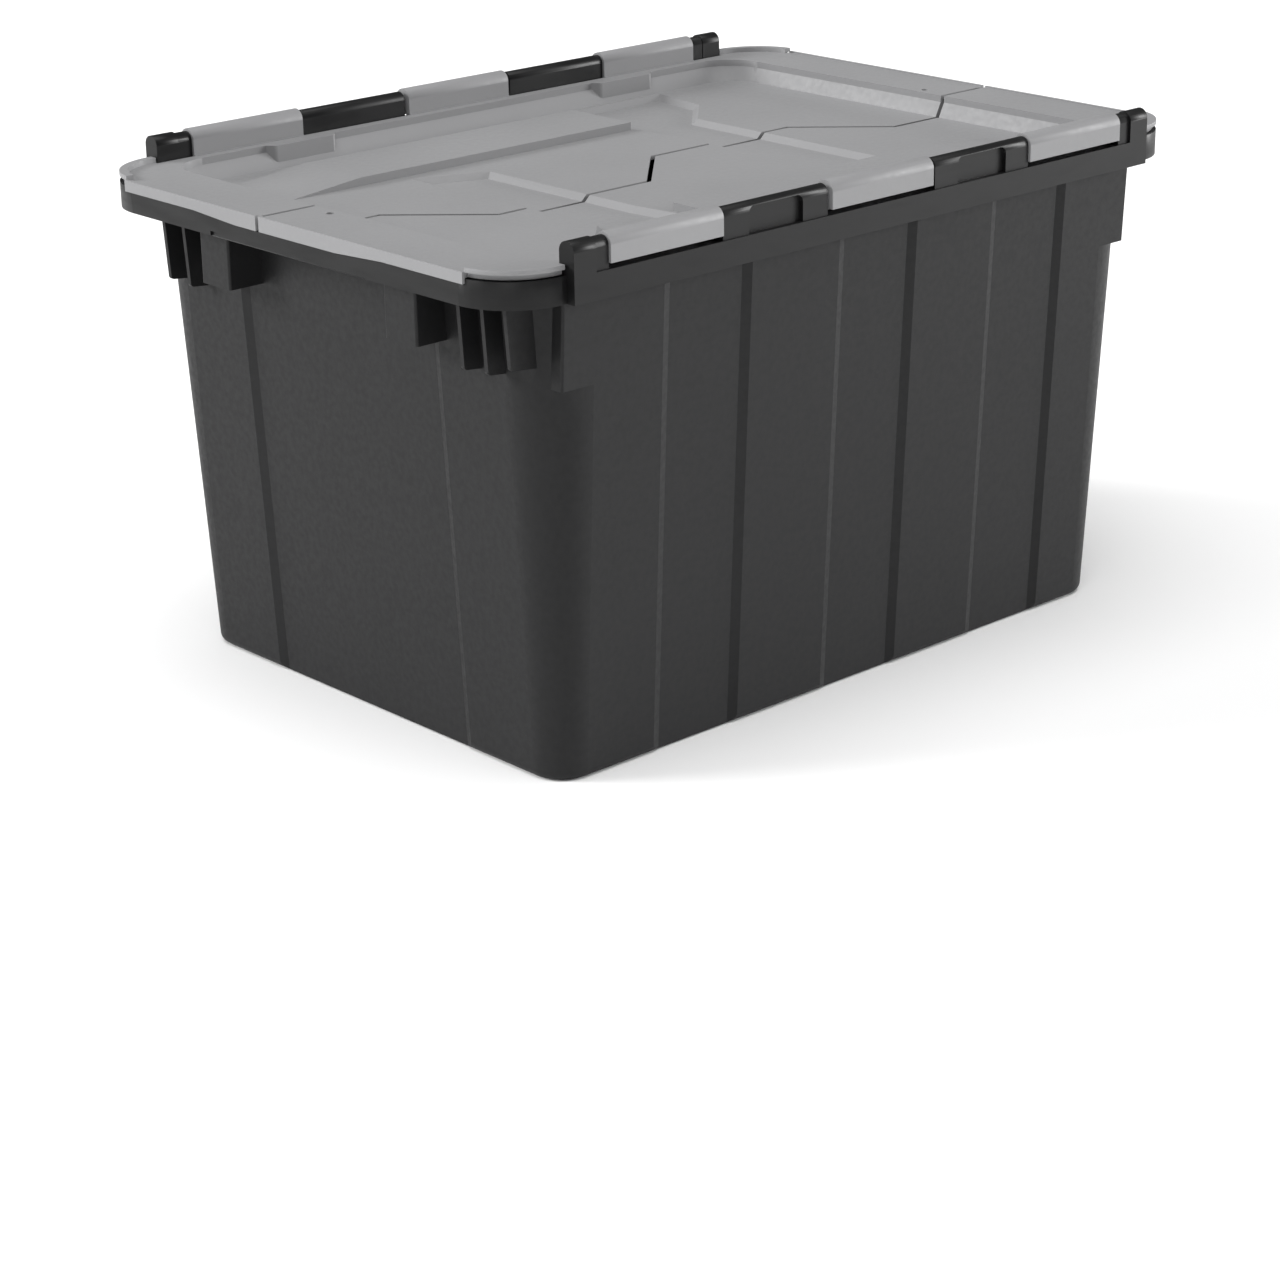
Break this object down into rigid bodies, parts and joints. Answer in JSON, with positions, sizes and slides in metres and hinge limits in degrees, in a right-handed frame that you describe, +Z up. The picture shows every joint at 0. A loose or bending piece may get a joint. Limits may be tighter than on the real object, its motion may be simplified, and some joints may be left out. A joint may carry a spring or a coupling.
{
  "type": "attached lid tote",
  "caption": "Stackable plastic tote with two interlocking lids hinged on steel rods along its long sides, for order picking and distribution.",
  "frame": {"origin": "centre of the base, on the surface that the tote stands on", "axes": "+X along the tote's length, +Y across it towards the rear lid's hinge, +Z up"},
  "size_m": [0.546, 0.382, 0.313],
  "materials": {
    "tub_plastic": "dark grey polypropylene, fine leather-like texture",
    "lid_plastic": "mid grey polypropylene, fine texture",
    "rod_steel": "drawn steel wire"
  },
  "bodies": {
    "tote": {"tub": "tub_plastic", "front_hinge_rod": "rod_steel", "rear_hinge_rod": "rod_steel"},
    "front_lid": {"front_lid": "lid_plastic"},
    "rear_lid": {"rear_lid": "lid_plastic"}
  },
  "joints": [
    {"name": "front_lid_hinge", "type": "hinge", "parent": "tote", "child": "front_lid", "pos_m": [0, -0.1847, 0.3067], "axis": [1, 0, 0], "range_deg": [0, 270]},
    {"name": "rear_lid_hinge", "type": "hinge", "parent": "tote", "child": "rear_lid", "pos_m": [0, 0.1847, 0.3067], "axis": [-1, 0, 0], "range_deg": [0, 270]}
  ]
}
